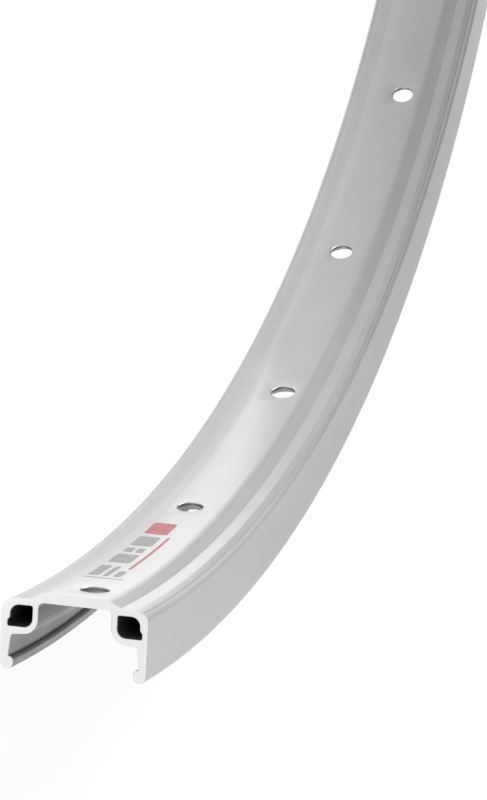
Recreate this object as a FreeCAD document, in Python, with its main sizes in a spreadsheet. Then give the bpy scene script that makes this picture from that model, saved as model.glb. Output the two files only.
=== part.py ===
import FreeCAD, Part
import Sketcher
import math
import os

doc = FreeCAD.newDocument("bicycle_rim")

# Driving sizes, in millimetres, degrees and whole counts.
# Heights are measured outward from the spoke bed, half widths from the rim's middle plane.
SIZES = {
    "bed_radius": 272.8,
    "rim_width": 24.5,
    "rim_height": 12.8,
    "bed_half": 5.1,
    "bed_thickness": 1.75,
    "valley_half": 7.65,
    "valley_height": 1.22,
    "shoulder_round": 2.6,
    "shoulder_thickness": 1.18,
    "wall_thickness": 1.35,
    "wall_taper": 0.35,
    "bead_round": 1.1,
    "bead_underside": 11.35,
    "hook_root": 10.9,
    "seat_height": 7.25,
    "ledge_height": 6.8,
    "ledge_round": 1.6,
    "ledge_thickness": 1.04,
    "well_half": 6.12,
    "web_thickness": 0.97,
    "chamber_round": 1.5,
    "chamber_wall": 1.4,
    "holes_per_turn": 32,
    "missing_pitches": 2,
    "spoke_hole_diameter": 4.6,
    "spoke_hole_offset": 0.9,
    "first_hole_angle": 1.32,
    "valve_hole_diameter": 8.5,
    "gap_middle_angle": 45,
}
sizes = doc.addObject("Spreadsheet::Sheet", "sizes")
for row, (alias, value) in enumerate(SIZES.items(), 1):
    sizes.set("A%d" % row, alias)
    sizes.set("B%d" % row, str(value))
    sizes.setAlias("B%d" % row, alias)
doc.recompute()

PITCH = "360 / sizes.holes_per_turn"
HOLES_A_SIDE = "(sizes.holes_per_turn - sizes.missing_pitches) / 2"

body = doc.addObject("PartDesign::Body", "rim_hoop")
body.Label = "rim_hoop"
origin = {feature.Role: feature for feature in body.Origin.OriginFeatures}


def new_sketch(name, plane, turn):
    # The sketch plane holds the wheel's axis and is turned about it.
    sketch = body.newObject("Sketcher::SketchObject", name)
    sketch.AttachmentSupport = [(origin[plane], "")]
    sketch.MapMode = "FlatFace"
    sketch.AttachmentOffset = FreeCAD.Placement(
        FreeCAD.Vector(0, 0, 0), FreeCAD.Rotation(FreeCAD.Vector(0, 1, 0), sketch.evalExpression(turn)))
    sketch.setExpression("AttachmentOffset.Rotation.Angle", turn)
    return sketch


def bind(sketch, constraints):
    # Adds constraints in one go; those given with an expression follow the sheet.
    first = len(sketch.Constraints)
    sketch.addConstraint([constraint for constraint, _ in constraints])
    for index, (_, expression) in enumerate(constraints, first):
        if expression:
            sketch.setExpression("Constraints[%d]" % index, expression)


def rounded(height, half, size, arriving, leaving, flats):
    # A square corner rounded off by equal flats between points on its arc.
    # The outline arrives and leaves along unit steps of (height, half width).
    spots = []
    for step in range(flats + 1):
        angle = math.radians(90 * step / flats)
        cut = [leaves * (1 - math.cos(angle)) - arrives * (1 - math.sin(angle))
               for arrives, leaves in zip(arriving, leaving)]
        spots.append(("%s + sizes.%s * %.5f" % (height, size, cut[0]),
                      "%s + sizes.%s * %.5f" % (half, size, cut[1])))
    return spots


def draw_loop(sketch, corners):
    # Each corner is (height above the spoke bed, half width).
    at = [FreeCAD.Vector(sketch.evalExpression("sizes.bed_radius + " + height),
                         sketch.evalExpression(half), 0) for height, half in corners]
    rules = []
    lines = [sketch.addGeometry(Part.LineSegment(start, end)) for start, end in zip(at, at[1:] + at[:1])]
    for index, (height, half) in enumerate(corners):
        line = lines[index]
        rules.append((Sketcher.Constraint("Coincident", lines[index - 1], 2, line, 1), None))
        rules.append((Sketcher.Constraint("DistanceX", -1, 1, line, 1, at[index].x),
                      "sizes.bed_radius + " + height))
        if half == "0":
            rules.append((Sketcher.Constraint("PointOnObject", line, 1, -1), None))
        else:
            rules.append((Sketcher.Constraint("DistanceY", -1, 1, line, 1, at[index].y), half))
    bind(sketch, rules)


# Steps of (height, half width) that the outlines take
OUT, IN, WIDE, NARROW = (1, 0), (-1, 0), (0, 1), (0, -1)
side = "sizes.rim_width / 2"
hook_half = side + " - 2 * sizes.bead_round"
wall_inside = side + " - sizes.wall_thickness"

# Half of the extruded section, from the middle plane to one side wall
section = new_sketch("half_section", "XZ_Plane", "-sizes.first_hole_angle")
draw_loop(section, [
    ("0", "0"),
    ("0", "sizes.bed_half"),
    ("sizes.valley_height", "sizes.valley_half"),
    *rounded("sizes.valley_height", side, "shoulder_round", WIDE, OUT, 2),
    *rounded("sizes.rim_height", side, "bead_round", OUT, NARROW, 1),
    ("sizes.bead_underside", hook_half),
    ("sizes.hook_root", wall_inside),
    ("sizes.seat_height", wall_inside + " - sizes.wall_taper"),
    *rounded("sizes.ledge_height", "sizes.well_half", "ledge_round", NARROW, IN, 1),
    ("sizes.bed_thickness", "sizes.well_half"),
    ("sizes.bed_thickness", "0"),
])

# Closed chamber in the corner between the spoke bed, the tyre ledge and the side wall
chamber_top = "sizes.valley_height + sizes.shoulder_thickness"
chamber_floor = "(sizes.ledge_height + sizes.seat_height) / 2 - sizes.ledge_thickness"
chamber_inside = "sizes.well_half + sizes.web_thickness"
chamber_outside = side + " - sizes.chamber_wall"
draw_loop(section, [
    (chamber_top, chamber_inside),
    *rounded(chamber_top, chamber_outside, "chamber_round", WIDE, OUT, 1),
    (chamber_floor, chamber_outside),
    *rounded(chamber_floor, chamber_inside, "chamber_round", NARROW, IN, 1),
])
doc.recompute()

# Hoop bent from the extrusion, with a sawn gap of whole spoke pitches
hoop = body.newObject("PartDesign::Revolution", "half_hoop")
hoop.Profile = section
hoop.ReferenceAxis = (section, ["V_Axis"])
hoop.setExpression("Angle", "360 - sizes.missing_pitches * " + PITCH)
hoop.Reversed = False
doc.recompute()

whole = body.newObject("PartDesign::Mirrored", "both_halves")
whole.Originals = [hoop]
whole.MirrorPlane = (origin["XY_Plane"], [""])
body.Tip = whole
doc.recompute()
print("half and whole volume", hoop.Shape.Volume, whole.Shape.Volume)


def drill(name, turn, diameter, offset):
    # Round hole through the spoke bed, on a radius of the wheel.
    sketch = new_sketch(name + "_sketch", "YZ_Plane", turn)
    circle = sketch.addGeometry(Part.Circle(
        FreeCAD.Vector(0, sketch.evalExpression(offset), 0), FreeCAD.Vector(0, 0, 1),
        sketch.evalExpression(diameter) / 2))
    across = (Sketcher.Constraint("PointOnObject", circle, 3, -1), None)
    if offset != "0":
        across = (Sketcher.Constraint("DistanceY", -1, 1, circle, 3, sketch.evalExpression(offset)), offset)
    bind(sketch, [(Sketcher.Constraint("PointOnObject", circle, 3, -2), None), across,
                  (Sketcher.Constraint("Diameter", circle, sketch.evalExpression(diameter)), diameter)])
    hole = body.newObject("PartDesign::Pocket", name)
    hole.Profile = sketch
    hole.Reversed = True
    hole.setExpression("Length", "sizes.bed_radius + 2 * sizes.bed_thickness")
    body.Tip = hole
    doc.recompute()
    return hole


def repeat(name, hole):
    # Every second spoke hole around the hoop.
    pattern = body.newObject("PartDesign::PolarPattern", name)
    pattern.Originals = [hole]
    pattern.Axis = (origin["Z_Axis"], [""])
    pattern.setExpression("Angle", "(" + HOLES_A_SIDE + " - 1) * 2 * " + PITCH)
    pattern.setExpression("Occurrences", HOLES_A_SIDE)
    body.Tip = pattern
    doc.recompute()
    return pattern


# Spoke holes, stepping from side to side of the middle plane
volumes = [whole.Shape.Volume]
first = drill("first_hole", "0", "sizes.spoke_hole_diameter", "sizes.spoke_hole_offset")
volumes.append(repeat("upper_holes", first).Shape.Volume)
second = drill("second_hole", PITCH, "sizes.spoke_hole_diameter", "-sizes.spoke_hole_offset")
volumes.append(repeat("lower_holes", second).Shape.Volume)

# Valve hole midway between two spoke holes, across the wheel from the gap
valve = drill("valve_hole", "(floor(sizes.holes_per_turn / 2) - 0.5) * " + PITCH,
              "sizes.valve_hole_diameter", "0")
volumes.append(valve.Shape.Volume)
print("volume after each cut", volumes)
if any(later >= sooner for sooner, later in zip(volumes, volumes[1:])):
    raise RuntimeError("a hole cut nothing")

# The hoop lies flat on one side wall, with the wheel's axis as +Z
turned = ("sizes.gap_middle_angle + sizes.missing_pitches * 180 / sizes.holes_per_turn"
          " + sizes.first_hole_angle")
body.Placement.Rotation = FreeCAD.Rotation(FreeCAD.Vector(0, 0, 1), body.evalExpression(turned))
body.setExpression("Placement.Rotation.Angle", turned)
body.setExpression("Placement.Base.z", "sizes.rim_width / 2")
doc.recompute()

for thing in doc.Objects:
    if "Invalid" in thing.State or "Error" in thing.State:
        raise RuntimeError("failed: " + thing.Name)
shape = body.Shape
if shape.isNull() or not shape.isValid() or len(shape.Solids) != 1:
    raise RuntimeError("the hoop isn't one sound solid")
os.makedirs("parts", exist_ok=True)
shape.exportStep("parts/" + body.Label + ".step")
print("volume", shape.Volume, "box", shape.BoundBox, "faces", len(shape.Faces))
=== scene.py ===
import math

import bpy
from mathutils import Matrix, Vector
from mathutils.geometry import tessellate_polygon


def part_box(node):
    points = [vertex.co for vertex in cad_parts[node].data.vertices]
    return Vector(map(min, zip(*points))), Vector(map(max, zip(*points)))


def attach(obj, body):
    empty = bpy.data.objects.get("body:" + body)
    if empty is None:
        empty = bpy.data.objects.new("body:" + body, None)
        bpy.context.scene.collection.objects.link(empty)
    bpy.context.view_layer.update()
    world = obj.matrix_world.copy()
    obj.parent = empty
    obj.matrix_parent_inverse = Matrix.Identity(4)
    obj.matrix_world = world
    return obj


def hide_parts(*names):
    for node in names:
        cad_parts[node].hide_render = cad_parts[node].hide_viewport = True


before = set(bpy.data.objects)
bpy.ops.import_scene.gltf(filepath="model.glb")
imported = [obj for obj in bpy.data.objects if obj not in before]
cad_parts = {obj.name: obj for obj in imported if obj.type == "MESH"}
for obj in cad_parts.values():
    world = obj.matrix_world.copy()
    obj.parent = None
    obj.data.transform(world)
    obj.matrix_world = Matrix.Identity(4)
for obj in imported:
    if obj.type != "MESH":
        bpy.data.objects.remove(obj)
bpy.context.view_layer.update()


# Rim hoop: one length of hollow aluminium extrusion bent into a wheel-sized circle.
# Satin silver outside, duller in the tyre channel and darker there as painted shade, drilled for the
# spokes and the valve, and sawn through square to the hoop so that both ends show the bright section.

# Sizes are in mm and degrees, and heights run outward from the spoke bed
MM = 0.001
low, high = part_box("rim_hoop")
WIDTH = (high.z - low.z) / MM
MIDDLE = WIDTH / 2
RIM_HEIGHT = 12.8
BED_RADIUS = high.x / MM - RIM_HEIGHT
HOLES_PER_TURN = 32
MISSING_PITCHES = 2
GAP_MIDDLE_ANGLE = 45
PITCH = 360 / HOLES_PER_TURN
SAWN_GAP = MISSING_PITCHES * PITCH
HOOP_SWEEP = 360 - SAWN_GAP
HOOP_START = GAP_MIDDLE_ANGLE + SAWN_GAP / 2


def on_hoop(angle, height, across):
    # A point by degrees past the first sawn end, height and distance off the middle plane.
    turn = math.radians(HOOP_START + angle)
    radius = (BED_RADIUS + height) * MM
    return Vector((radius * math.cos(turn), radius * math.sin(turn), (MIDDLE + across) * MM))


ARC_STEP = 11


def round_corners(corners):
    # Corners of (height, half width, round), with each round drawn as an arc.
    points = []
    for index, (height, half, size) in enumerate(corners):
        here = Vector((height, half))
        if not size:
            points.append(here)
            continue
        last = Vector(corners[index - 1][:2])
        following = Vector(corners[(index + 1) % len(corners)][:2])
        back, ahead = (last - here).normalized(), (following - here).normalized()
        opening = back.angle(ahead)
        reach = size / math.tan(opening / 2)
        centre = here + (back + ahead).normalized() * size / math.sin(opening / 2)
        start, end = here + back * reach - centre, here + ahead * reach - centre
        turn = start.angle_signed(end)
        count = max(2, round(abs(math.degrees(turn)) / ARC_STEP))
        for step in range(count + 1):
            points.append(centre + Matrix.Rotation(-turn * step / count, 2) @ start)
    return points


def draw_in(loop, distance):
    # The same loop, moved in by a distance, or out where it is below zero.
    moved = []
    for index, here in enumerate(loop):
        before = (here - loop[index - 1]).normalized()
        after = (loop[(index + 1) % len(loop)] - here).normalized()
        inward = Vector((before.y + after.y, -before.x - after.x)) / (1 + before.dot(after))
        moved.append(here + inward * distance)
    return moved


def scribe(loop, across, width, depth):
    # Cuts a fine line along the hoop where the loop reaches that distance across.
    for index, (here, after) in enumerate(zip(loop, loop[1:])):
        if here.y < across <= after.y:
            run = (after - here).normalized()
            spot = here + run * (across - here.y) / run.y
            groove = [spot - run * width / 2,
                      spot + Vector((run.y, -run.x)) * depth,
                      spot + run * width / 2]
            return loop[:index + 1] + groove + loop[index + 1:]


# The section, from the middle plane to one side wall: the spoke bed, the valley beside it,
# the shoulder, the side wall with its hooked bead, and back by the tyre seat, ledge and well.
# The first and last corner of each list only steer the rounds next to them.
BED_THICKNESS = 1.75
BED_HALF = 5.3
VALLEY_HEIGHT = 1.22
VALLEY_HALF = 7.65
SHOULDER_FOOT_HEIGHT = 1.27
SHOULDER_FOOT_HALF = 9.9
SHOULDER_HEIGHT = 1.9
BEAD_WIDTH = 2.25
BEAD_FACE = 1.2
BEAD_UNDERSIDE = 10.85
HOOK_ROOT = 10.75
WALL_THICKNESS = 1.35
WALL_TAPER = 0.35
SEAT_HEIGHT = 7.25
LEDGE_HEIGHT = 6.7
WELL_HALF = 6.12
half_width = WIDTH / 2
hook_half = half_width - BEAD_WIDTH
wall_inside = half_width - WALL_THICKNESS
outside_half = round_corners([
    (0, 0, 0),
    (0, BED_HALF, 4.0),
    (VALLEY_HEIGHT, VALLEY_HALF, 0.6),
    (SHOULDER_FOOT_HEIGHT, SHOULDER_FOOT_HALF, 1.5),
    (SHOULDER_HEIGHT, half_width, 1.6),
    (RIM_HEIGHT, half_width, 1.1),
    (RIM_HEIGHT, hook_half, 0),
])[1:-1]
channel_half = round_corners([
    (RIM_HEIGHT, half_width - BEAD_FACE, 0),
    (RIM_HEIGHT, hook_half, 1.0),
    (BEAD_UNDERSIDE, hook_half, 0.75),
    (HOOK_ROOT, wall_inside, 0.2),
    (SEAT_HEIGHT, wall_inside - WALL_TAPER, 0.5),
    (LEDGE_HEIGHT, WELL_HALF, 2.4),
    (BED_THICKNESS, WELL_HALF, 0.9),
    (BED_THICKNESS, 0, 0),
])[1:-1]

# Closed chamber in the corner, with a step out into a notch along its outer wall
CHAMBER_BOTTOM = 2.4
CHAMBER_TOP = 5.93
CHAMBER_INSIDE = 7.09
CHAMBER_OUTSIDE = 10.85
NOTCH_START = 4.45
NOTCH_BOTTOM = 4.98
NOTCH_OUTSIDE = 11.25
chamber = round_corners([
    (CHAMBER_BOTTOM, CHAMBER_INSIDE, 0.35),
    (CHAMBER_BOTTOM, CHAMBER_OUTSIDE, 1.5),
    (NOTCH_START, CHAMBER_OUTSIDE, 0.3),
    (NOTCH_BOTTOM, NOTCH_OUTSIDE, 0.3),
    (CHAMBER_TOP, NOTCH_OUTSIDE, 0.35),
    (CHAMBER_TOP, CHAMBER_INSIDE, 1.5),
])

# A fine die line on each shoulder, and both halves of the section
LINE_ACROSS = 11.25
LINE_WIDTH = 0.12
LINE_DEPTH = 0.06
outside_half = scribe(outside_half, LINE_ACROSS, LINE_WIDTH, LINE_DEPTH)
half_outline = outside_half + channel_half
outline = half_outline + [Vector((point.x, -point.y)) for point in reversed(half_outline)]
mirrored_chamber = [Vector((point.x, -point.y)) for point in reversed(chamber)]

SATIN, CHANNEL, CHAMBER, SAWN = range(4)
vertices = []
faces = []
finishes = []
unrolled_places = []


def add_face(corners, finish, surface):
    # surface gives each corner's place on the unrolled strip, in metres.
    faces.append(corners)
    finishes.append(finish)
    unrolled_places.extend(surface)


def add_vertex(angle, height, across):
    vertices.append(on_hoop(angle, height, across))
    return len(vertices) - 1


# Stations along the hoop, so spaced that one falls on the middle of every hole
FIRST_HOLE = 1.32
SAW_CHAMFER = 0.08
STATIONS_PER_PITCH = 10
SHORTEST_STEP = 0.2
chamfer_turn = math.degrees(SAW_CHAMFER / BED_RADIUS)
pitch_step = PITCH / STATIONS_PER_PITCH
stations = [chamfer_turn, FIRST_HOLE - pitch_step]
while stations[-1] + pitch_step < HOOP_SWEEP - SHORTEST_STEP:
    stations.append(stations[-1] + pitch_step)
stations.append(HOOP_SWEEP - chamfer_turn)
along = [math.radians(angle) * BED_RADIUS * MM for angle in stations]


def lengths_round(loop):
    # Distance along a closed loop to each of its points, and back to the first.
    lengths = [0.0]
    for index, here in enumerate(loop):
        lengths.append(lengths[-1] + (loop[(index + 1) % len(loop)] - here).length * MM)
    return lengths


def sweep(loop, finish_of, skipped=()):
    # Runs a closed loop round the hoop and returns the vertex rows.
    rows = [[add_vertex(angle, point.x, point.y) for point in loop] for angle in stations]
    lengths = lengths_round(loop)
    for row in range(len(stations) - 1):
        here, ahead = along[row], along[row + 1]
        for index in range(len(loop)):
            if (row, index) in skipped:
                continue
            after = (index + 1) % len(loop)
            near, far = lengths[index], lengths[index + 1]
            add_face([rows[row][index], rows[row][after], rows[row + 1][after], rows[row + 1][index]],
                     finish_of(index), [(here, near), (here, far), (ahead, far), (ahead, near)])
    return rows


# Spoke holes step from side to side of the middle plane, and the valve's is midway between two
# of them; each is (angle, distance off the middle plane, radius, how much wider in the channel)
HOLE_STEP = 0.9
SPOKE_HOLE_RADIUS = 2.3
SPOKE_HOLE_SINK = 0.95
VALVE_HOLE_RADIUS = 4.25
holes = []
for number in range(HOLES_PER_TURN - MISSING_PITCHES):
    aside = HOLE_STEP if number % 2 == 0 else -HOLE_STEP
    holes.append((FIRST_HOLE + PITCH * number, aside, SPOKE_HOLE_RADIUS, SPOKE_HOLE_SINK))
holes.append((FIRST_HOLE + PITCH * (HOLES_PER_TURN / 2 - 0.5), 0.0, VALVE_HOLE_RADIUS, 0.0))


def station_of(angle):
    return min(range(len(stations)), key=lambda row: abs(stations[row] - angle))


# The strips along the middle of the bed and of its underside stay open beside each hole
bed_strip = len(outline) - 1
under_strip = len(half_outline) - 1
skipped = set()
for angle, *_ in holes:
    row = station_of(angle)
    skipped |= {(row - 1, strip) for strip in (bed_strip, under_strip)}
    skipped |= {(row, strip) for strip in (bed_strip, under_strip)}


def outline_finish(index):
    in_channel = len(outside_half) <= index < len(outline) - len(outside_half)
    return CHANNEL if in_channel else SATIN


rows = sweep(outline, outline_finish, skipped)
chamber_rows = sweep(chamber, lambda index: CHAMBER)
mirrored_rows = sweep(mirrored_chamber, lambda index: CHAMBER)

HOLE_POINTS = 40
outline_lengths = lengths_round(outline)


def hole_ring(angle, across, radius, height):
    # A circle about a radial axis, laid on the cylinder at that height.
    ring = []
    for step in range(HOLE_POINTS):
        turn = 2 * math.pi * step / HOLE_POINTS
        aside = math.degrees(math.asin(radius * math.cos(turn) / (BED_RADIUS + height)))
        ring.append(add_vertex(angle + aside, height, across + radius * math.sin(turn)))
    return ring


def strip_place(index, strip):
    # A vertex's place on the unrolled bed or on its underside, in metres.
    place = vertices[index]
    turn = (math.degrees(math.atan2(place.y, place.x)) - HOOP_START) % 360
    aside = abs(place.z - (MIDDLE + outline[strip].y) * MM)
    return (math.radians(turn) * BED_RADIUS * MM, outline_lengths[strip] + aside)


def fill_round(border, ring, finish, strip):
    # Fills the bed between a border and a hole's ring.
    both = border + ring
    places = [strip_place(index, strip) for index in both]
    flat = [Vector((*place, 0)) for place in places]
    for corners in tessellate_polygon([flat[:len(border)], flat[len(border):]]):
        add_face([both[corner] for corner in corners], finish, [places[corner] for corner in corners])


def join_rings(first, second, finish, strip):
    # A band of faces between two rings of one hole.
    for step in range(HOLE_POINTS):
        after = (step + 1) % HOLE_POINTS
        corners = [first[step], first[after], second[after], second[step]]
        add_face(corners, finish, [strip_place(index, strip) for index in corners])


# Each hole has its edge on the bed rounded off, by steps of (wider, deeper), and the spoke holes
# open out towards the channel from SINK_START down
HOLE_EDGE = [(0.28, 0.0), (0.16, 0.03), (0.07, 0.09), (0.02, 0.17), (0.0, 0.26)]
SINK_START = 0.6
for angle, across, radius, sink in holes:
    row = station_of(angle)
    borders = []
    for strip in (bed_strip, under_strip):
        after = (strip + 1) % len(outline)
        nearby = [rows[row + step] for step in (-1, 0, 1)]
        borders.append([line[strip] for line in nearby] + [line[after] for line in reversed(nearby)])
    profile = [(radius + wider, height) for wider, height in HOLE_EDGE]
    profile += [(radius, SINK_START), (radius + sink, BED_THICKNESS)]
    rings = [hole_ring(angle, across, size, height) for size, height in profile]
    fill_round(borders[0], rings[0], SATIN, bed_strip)
    for number, (first, second) in enumerate(zip(rings, rings[1:])):
        join_rings(first, second, SATIN if number < len(HOLE_EDGE) else CHANNEL, bed_strip)
    fill_round(borders[1], rings[-1], CHANNEL, under_strip)

# Both sawn ends, with the burr taken off their edges
swept_loops = [(outline, rows, SAW_CHAMFER),
               (chamber, chamber_rows, -SAW_CHAMFER),
               (mirrored_chamber, mirrored_rows, -SAW_CHAMFER)]


def across_saw(spot):
    # A section point's place on the sawn face, in metres: across the saw's strokes, then along.
    return (spot.y * MM, spot.x * MM)


for row, angle in ((0, 0.0), (-1, HOOP_SWEEP)):
    flat = []
    places = []
    for loop, loop_rows, chamfer in swept_loops:
        face_loop = draw_in(loop, chamfer)
        ring = [add_vertex(angle, point.x, point.y) for point in face_loop]
        for index in range(len(loop)):
            after = (index + 1) % len(loop)
            corners = [(loop_rows[row][index], loop[index]), (loop_rows[row][after], loop[after]),
                       (ring[after], face_loop[after]), (ring[index], face_loop[index])]
            add_face([corner for corner, _ in corners], SAWN, [across_saw(spot) for _, spot in corners])
        flat.append([Vector((point.y, point.x, 0)) for point in face_loop])
        places.extend(zip(ring, face_loop))
    for corners in tessellate_polygon(flat):
        add_face([places[corner][0] for corner in corners], SAWN,
                 [across_saw(places[corner][1]) for corner in corners])

mesh = bpy.data.meshes.new("rim_hoop_shell")
mesh.from_pydata(vertices, [], faces)
mesh.polygons.foreach_set("material_index", finishes)
mesh.polygons.foreach_set("use_smooth", [True] * len(faces))
unrolled = mesh.uv_layers.new(name="unrolled")
for loop, place in zip(unrolled.data, unrolled_places):
    loop.uv = place
mesh.update()


def add_piece(name, piece_mesh):
    # Puts a mesh into the scene with all its faces turned outwards.
    piece = bpy.data.objects.new(name, piece_mesh)
    bpy.context.scene.collection.objects.link(piece)
    bpy.ops.object.select_all(action="DESELECT")
    bpy.context.view_layer.objects.active = piece
    piece.select_set(True)
    bpy.ops.object.mode_set(mode="EDIT")
    bpy.ops.mesh.select_all(action="SELECT")
    bpy.ops.mesh.normals_make_consistent(inside=False)
    bpy.ops.object.mode_set(mode="OBJECT")
    return piece


SHARP_FROM = 38
hoop = add_piece("rim_hoop_shell", mesh)
mesh.set_sharp_from_angle(angle=math.radians(SHARP_FROM))


def new_finish(name, metallic=1.0):
    material = bpy.data.materials.new(name)
    material.use_nodes = True
    shader = material.node_tree.nodes["Principled BSDF"]
    shader.inputs["Metallic"].default_value = metallic
    return material, shader


# Most of a noise pattern lies between these two values
NOISE_LOW = 0.3
NOISE_HIGH = 0.7


def spread(material, pattern, least, most, target):
    # Drives a socket between two values by a noise pattern.
    fit = material.node_tree.nodes.new("ShaderNodeMapRange")
    fit.inputs["From Min"].default_value = NOISE_LOW
    fit.inputs["From Max"].default_value = NOISE_HIGH
    fit.inputs["To Min"].default_value = least
    fit.inputs["To Max"].default_value = most
    material.node_tree.links.new(pattern, fit.inputs["Value"])
    material.node_tree.links.new(fit.outputs["Result"], target)


def drawn_lines(material, width, length):
    # Long fine lines along the hoop, as the die leaves them; width and length in mm.
    nodes, links = material.node_tree.nodes, material.node_tree.links
    place = nodes.new("ShaderNodeUVMap")
    place.uv_map = "unrolled"
    stretch = nodes.new("ShaderNodeMapping")
    stretch.inputs["Scale"].default_value = (1 / (length * MM), 1 / (width * MM), 1)
    lines = nodes.new("ShaderNodeTexNoise")
    lines.noise_dimensions = "2D"
    lines.inputs["Scale"].default_value = 1.0
    lines.inputs["Detail"].default_value = 2.0
    links.new(place.outputs["UV"], stretch.inputs["Vector"])
    links.new(stretch.outputs["Vector"], lines.inputs["Vector"])
    return lines.outputs["Fac"]


def clouds(material, size):
    # Soft cloudy patches, size in mm.
    nodes, links = material.node_tree.nodes, material.node_tree.links
    place = nodes.new("ShaderNodeTexCoord")
    patches = nodes.new("ShaderNodeTexNoise")
    patches.inputs["Scale"].default_value = 1 / (size * MM)
    patches.inputs["Detail"].default_value = 3.0
    links.new(place.outputs["Object"], patches.inputs["Vector"])
    return patches.outputs["Fac"]


def engrave(material, shader, pattern, depth):
    # Turns a pattern into fine relief, depth in mm.
    relief = material.node_tree.nodes.new("ShaderNodeBump")
    relief.inputs["Strength"].default_value = 1.0
    relief.inputs["Distance"].default_value = depth * MM
    material.node_tree.links.new(pattern, relief.inputs["Height"])
    material.node_tree.links.new(relief.outputs["Normal"], shader.inputs["Normal"])


def brushed_along(material, shader, amount):
    # Highlights spread across the drawn lines, a quarter turn from the strip's length.
    shader.inputs["Anisotropic"].default_value = amount
    shader.inputs["Anisotropic Rotation"].default_value = 0.25
    direction = material.node_tree.nodes.new("ShaderNodeTangent")
    direction.direction_type = "UV_MAP"
    direction.uv_map = "unrolled"
    material.node_tree.links.new(direction.outputs["Tangent"], shader.inputs["Tangent"])


# Satin silver: lightly brushed by the die, under a clear anodised skin
satin, shader = new_finish("satin_silver")
spread(satin, clouds(satin, 11), 0.41, 0.43, shader.inputs["Base Color"])
spread(satin, drawn_lines(satin, 0.35, 60), 0.35, 0.41, shader.inputs["Roughness"])
engrave(satin, shader, drawn_lines(satin, 0.16, 25), 0.004)
brushed_along(satin, shader, 0.5)
shader.inputs["Coat Weight"].default_value = 1.0
shader.inputs["Coat Roughness"].default_value = 0.3

# Tyre channel: the same metal, left duller and more streaked, with its colour darkened as painted shade
# for the recess
channel_metal_painted_shade, shader = new_finish("channel_metal_painted_shade")
spread(channel_metal_painted_shade, clouds(channel_metal_painted_shade, 6), 0.29, 0.35, shader.inputs["Base Color"])
spread(channel_metal_painted_shade, drawn_lines(channel_metal_painted_shade, 0.5, 50), 0.40, 0.52, shader.inputs["Roughness"])
engrave(channel_metal_painted_shade, shader, drawn_lines(channel_metal_painted_shade, 0.3, 30), 0.01)
brushed_along(channel_metal_painted_shade, shader, 0.4)

# Inside of the closed chambers: dull, with a near-black colour that is painted shade for the deep hollow
chamber_painted_shade, shader = new_finish("chamber_painted_shade", metallic=0.0)
shader.inputs["Roughness"].default_value = 0.7
spread(chamber_painted_shade, drawn_lines(chamber_painted_shade, 0.4, 30), 0.10, 0.13, shader.inputs["Base Color"])

# Sawn ends: bright bare metal with the saw's fine strokes, which run up the section, so the
# pattern's long measure comes first
sawn_metal, shader = new_finish("sawn_metal")
shader.inputs["Roughness"].default_value = 0.36
spread(sawn_metal, drawn_lines(sawn_metal, 12, 0.3), 0.89, 0.93, shader.inputs["Base Color"])
engrave(sawn_metal, shader, drawn_lines(sawn_metal, 20, 0.18), 0.006)

for material in (satin, channel_metal_painted_shade, chamber_painted_shade, sawn_metal):
    mesh.materials.append(material)
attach(hoop, "root")
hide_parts("rim_hoop")


# Printed label: ink on the spoke bed between the first two spoke holes.
# Plain fields and bars in red and grey, screen printed after the hoop was finished,
# and only a few hundredths of a millimetre thick.
INK_PROUD = 0.03
INK_SUNK = 0.02
ROW_STEP = 0.8
CORNER_TURNS = (0, 0.4, 0.8, 1.2)


def field_rows(start, end, left, right, size):
    # Rows across a rectangle with rounded corners, as mm along the bed and its two edges there.
    corner = [(size * (1 - math.cos(turn)), size * (1 - math.sin(turn))) for turn in CORNER_TURNS]
    length = end - start - 2 * size
    count = max(1, math.ceil(length / ROW_STEP))
    rows = [(start + along, left + inset, right - inset) for along, inset in corner]
    rows += [(start + size + length * step / count, left, right) for step in range(count + 1)]
    return rows + [(end - along, left + inset, right - inset) for along, inset in reversed(corner)]


def print_ink(name, fields, material):
    # fields holds (start, end, left, right, corner round) for each filled field, in mm from
    # the first sawn end and from the middle plane. Each row is four corners of a thin box.
    ink_vertices = []
    ink_faces = []
    for field in fields:
        first = len(ink_vertices)
        for along_bed, left, right in field_rows(*field):
            angle = math.degrees(along_bed / BED_RADIUS)
            ink_vertices.append(on_hoop(angle, -INK_PROUD, left))
            ink_vertices.append(on_hoop(angle, -INK_PROUD, right))
            ink_vertices.append(on_hoop(angle, INK_SUNK, right))
            ink_vertices.append(on_hoop(angle, INK_SUNK, left))
        last = len(ink_vertices) - 4
        for row in range(first, last, 4):
            for side in range(4):
                after = (side + 1) % 4
                ink_faces.append([row + side, row + after, row + 4 + after, row + 4 + side])
        ink_faces.extend([[first, first + 1, first + 2, first + 3], [last, last + 1, last + 2, last + 3]])
    ink_mesh = bpy.data.meshes.new(name)
    ink_mesh.from_pydata(ink_vertices, [], ink_faces)
    ink_mesh.materials.append(material)
    ink = add_piece(name, ink_mesh)
    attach(ink, "root")


def new_ink(name, thin, full):
    # Flat print that lies thinner and fuller from place to place; two linear colours.
    material, shader = new_finish(name, metallic=0.0)
    shader.inputs["Roughness"].default_value = 0.45
    nodes, links = material.node_tree.nodes, material.node_tree.links
    cover = nodes.new("ShaderNodeMix")
    cover.data_type = "RGBA"
    cover.inputs["A"].default_value = (*thin, 1)
    cover.inputs["B"].default_value = (*full, 1)
    spread(material, clouds(material, 0.8), 0.0, 1.0, cover.inputs["Factor"])
    links.new(cover.outputs["Result"], shader.inputs["Base Color"])
    return material


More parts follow.
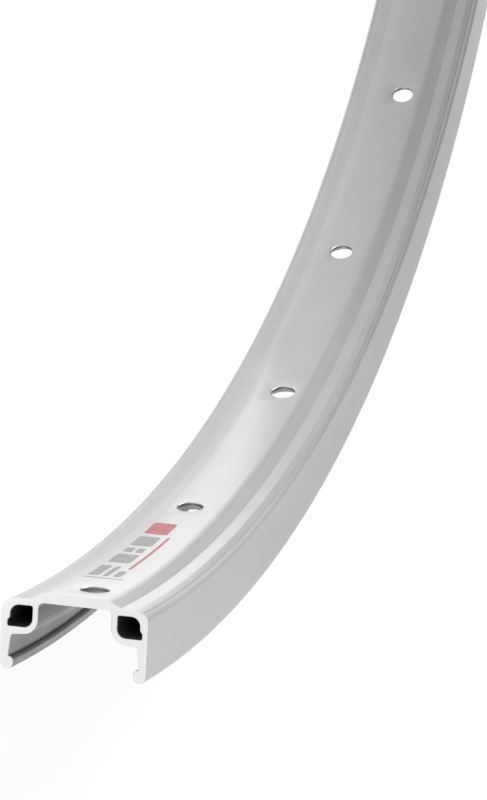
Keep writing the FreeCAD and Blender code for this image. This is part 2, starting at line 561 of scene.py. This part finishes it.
print_ink("label_red_print", [
    (44.2, 50.2, -4.2, 0.0, 0.5),
    (22.4, 42.6, 0.7, 1.2, 0.2),
], new_ink("ink_red", (0.56, 0.17, 0.19), (0.48, 0.10, 0.12)))
print_ink("label_grey_print", [
    (37.0, 42.4, -4.2, -0.4, 0.5),
    (33.0, 35.4, -4.0, -2.5, 0.3),
    (33.0, 35.4, -1.9, -0.6, 0.3),
    (26.0, 31.4, -4.2, -0.4, 0.5),
    (16.8, 23.6, -4.2, -2.4, 0.3),
    (16.8, 23.6, -1.7, -0.8, 0.2),
    (16.8, 20.6, 0.0, 1.3, 0.3),
    (14.9, 15.25, -4.4, 2.4, 0.1),
], new_ink("ink_grey", (0.40, 0.41, 0.41), (0.30, 0.31, 0.31)))


# Floor: a plain white studio table under the hoop. To the camera and in what the metal mirrors
# it glows just short of white and still takes the hoop's shadow; to the rest it is matt paint.
FLOOR_SIZE = 12
FLOOR_CLEARANCE = 0.0002
bpy.ops.mesh.primitive_plane_add(size=FLOOR_SIZE, location=(0, 0, low.z - FLOOR_CLEARANCE))
floor = bpy.context.object
floor.name = "floor"
paint = bpy.data.materials.new("floor_white")
paint.use_nodes = True
nodes, links = paint.node_tree.nodes, paint.node_tree.links


def seen_rays(nodes, links):
    # 1 for rays from the camera, from a mirroring surface or through a clear one, otherwise 0.
    ray = nodes.new("ShaderNodeLightPath")
    bounced = nodes.new("ShaderNodeMath")
    bounced.operation = "MAXIMUM"
    links.new(ray.outputs["Is Glossy Ray"], bounced.inputs[0])
    links.new(ray.outputs["Is Transmission Ray"], bounced.inputs[1])
    seen = nodes.new("ShaderNodeMath")
    seen.operation = "MAXIMUM"
    links.new(ray.outputs["Is Camera Ray"], seen.inputs[0])
    links.new(bounced.outputs["Value"], seen.inputs[1])
    return seen.outputs["Value"]


matt = nodes["Principled BSDF"]
matt.inputs["Base Color"].default_value = (0.9, 0.9, 0.9, 1)
matt.inputs["Roughness"].default_value = 1.0
matt.inputs["Specular IOR Level"].default_value = 0.0
glow = nodes.new("ShaderNodeEmission")
glow.inputs["Strength"].default_value = 0.87
shade = nodes.new("ShaderNodeBsdfDiffuse")
shade.inputs["Color"].default_value = (0.3, 0.3, 0.3, 1)
white = nodes.new("ShaderNodeAddShader")
choose = nodes.new("ShaderNodeMixShader")
links.new(glow.outputs["Emission"], white.inputs[0])
links.new(shade.outputs["BSDF"], white.inputs[1])
links.new(seen_rays(nodes, links), choose.inputs["Fac"])
links.new(matt.outputs["BSDF"], choose.inputs[1])
links.new(white.outputs["Shader"], choose.inputs[2])
links.new(choose.outputs["Shader"], nodes["Material Output"].inputs["Surface"])
floor.data.materials.append(paint)

# Light: a room that is white at the horizon and half as bright overhead, four large soft boxes
# beyond and above the hoop, and inside it a small one and two thin panels flat on the table.
# Matt surfaces get a dimmer room and none of the panels, so the soft boxes set their level.
HORIZON_LEVEL = 1.0
OVERHEAD_LEVEL = 0.5
MATT_LEVEL = 0.3
FADE_START = 0.09
FADE_END = 0.16
room = bpy.data.worlds.new("room")
room.use_nodes = True
nodes, links = room.node_tree.nodes, room.node_tree.links
nodes["Background"].inputs["Color"].default_value = (1, 1, 1, 1)
direction = nodes.new("ShaderNodeTexCoord")
parts = nodes.new("ShaderNodeSeparateXYZ")
fade = nodes.new("ShaderNodeMapRange")
fade.inputs["From Min"].default_value = FADE_START
fade.inputs["From Max"].default_value = FADE_END
fade.inputs["To Min"].default_value = HORIZON_LEVEL
fade.inputs["To Max"].default_value = OVERHEAD_LEVEL
links.new(direction.outputs["Generated"], parts.inputs["Vector"])
links.new(parts.outputs["Z"], fade.inputs["Value"])
level = nodes.new("ShaderNodeMix")
level.inputs["A"].default_value = MATT_LEVEL
links.new(seen_rays(nodes, links), level.inputs["Factor"])
links.new(fade.outputs["Result"], level.inputs["B"])
links.new(level.outputs["Result"], nodes["Background"].inputs["Strength"])
bpy.context.scene.world = room


def new_lamp(name, shape):
    # An area lamp that the camera doesn't see.
    lamp = bpy.data.lights.new(name, "AREA")
    lamp.shape = shape
    holder = bpy.data.objects.new(name, lamp)
    holder.visible_camera = False
    bpy.context.scene.collection.objects.link(holder)
    return lamp, holder


def hang_lamp(name, place, aim, size, power):
    # A round soft box; places and size in metres, power in watts.
    lamp, holder = new_lamp(name, "DISK")
    lamp.size = size
    lamp.energy = power
    holder.location = place
    holder.rotation_euler = (Vector(place) - Vector(aim)).to_track_quat("Z", "Y").to_euler()


PANEL_WIDTH = 60
PANEL_HEIGHT = 0.5


def lay_panel(name, start, end, brightness):
    # A thin panel that shines upwards, its outer edge from start to end in mm; 1 is white.
    start, end = Vector(start) * MM, Vector(end) * MM
    run = end - start
    inward = Vector((run.y, -run.x)).normalized() * PANEL_WIDTH * MM
    if inward.dot(start) > 0:
        inward = -inward
    lamp, holder = new_lamp(name, "RECTANGLE")
    lamp.size = run.length
    lamp.size_y = PANEL_WIDTH * MM
    lamp.energy = math.pi * lamp.size * lamp.size_y * brightness
    holder.location = (*((start + end + inward) / 2), PANEL_HEIGHT * MM)
    holder.rotation_euler = (math.pi, 0, math.atan2(run.y, run.x))
    holder.visible_diffuse = False


SOFT_BOX = 0.9
SMALL_BOX = 0.12
hoop_front = (0.05, 0.2, 0.012)
sawn_end = (0.13, 0.235, 0.012)
panel_joint = (68, 256.5)
hang_lamp("soft_box_left", (-0.570, 1.530, 0.47), hoop_front, SOFT_BOX, 0.58)
hang_lamp("soft_box_right", (-1.367, 0.580, 0.47), hoop_front, SOFT_BOX, 0.78)
hang_lamp("soft_box_behind", (-0.762, 1.012, 0.976), hoop_front, SOFT_BOX, 2.3)
hang_lamp("soft_box_over", (-0.762, -0.612, 0.976), hoop_front, SOFT_BOX, 1.0)
hang_lamp("soft_box_low", (-0.02, 0.16, 0.09), sawn_end, SMALL_BOX, 0.2)
lay_panel("table_panel_near", (135, 233), panel_joint, 0.62)
lay_panel("table_panel_far", panel_joint, (22, 267), 0.66)
bpy.context.scene.view_settings.view_transform = "Standard"

# Camera: close to the sawn end, a little above the hoop and turned on its side.
# Its place, turns and focal length were fitted to the photo.
CAMERA_PLACE = (0.41306, -0.03433, 0.14599)
CAMERA_TURNS = (-15.5085, -72.8486, 156.3055)
FOCAL_LENGTH = 112.61
lens = bpy.data.cameras.new("camera")
lens.lens = FOCAL_LENGTH
lens.clip_start = 0.01
camera = bpy.data.objects.new("camera", lens)
camera.location = CAMERA_PLACE
camera.rotation_euler = [math.radians(turn) for turn in CAMERA_TURNS]
bpy.context.scene.collection.objects.link(camera)
bpy.context.scene.camera = camera
